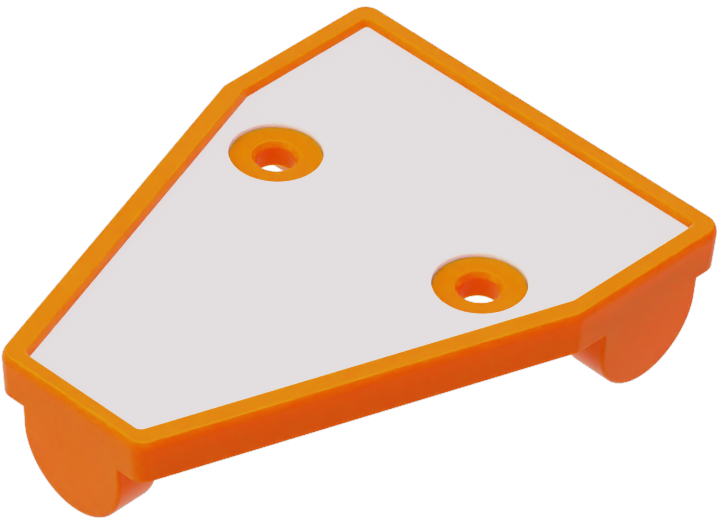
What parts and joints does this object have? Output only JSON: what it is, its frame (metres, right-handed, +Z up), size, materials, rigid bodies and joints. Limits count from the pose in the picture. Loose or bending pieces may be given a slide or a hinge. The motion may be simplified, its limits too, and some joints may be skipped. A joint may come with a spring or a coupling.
{
  "type": "moulded plate with inset panel and half-round lugs",
  "caption": "Elongated hexagon plate with a raised rim, a smooth inset face panel, two sunken screw bosses and half-round lugs below its skirt.",
  "frame": {"origin": "centre of the outline in plan, at the level of the lugs' lowest points", "axes": "+X along the wide end, +Y from the narrow end to the wide end, +Z up out of the panel's face"},
  "size_m": [0.0994, 0.1314, 0.0292],
  "materials": {
    "orange_moulding": "satin moulded orange, slightly translucent",
    "white_panel": "smooth cool-white sheet",
    "bonding_film": "thin milky double-sided film"
  },
  "bodies": {
    "root": {"moulded_body": "orange_moulding", "face_panel": "white_panel", "adhesive_film": "bonding_film"}
  },
  "joints": []
}
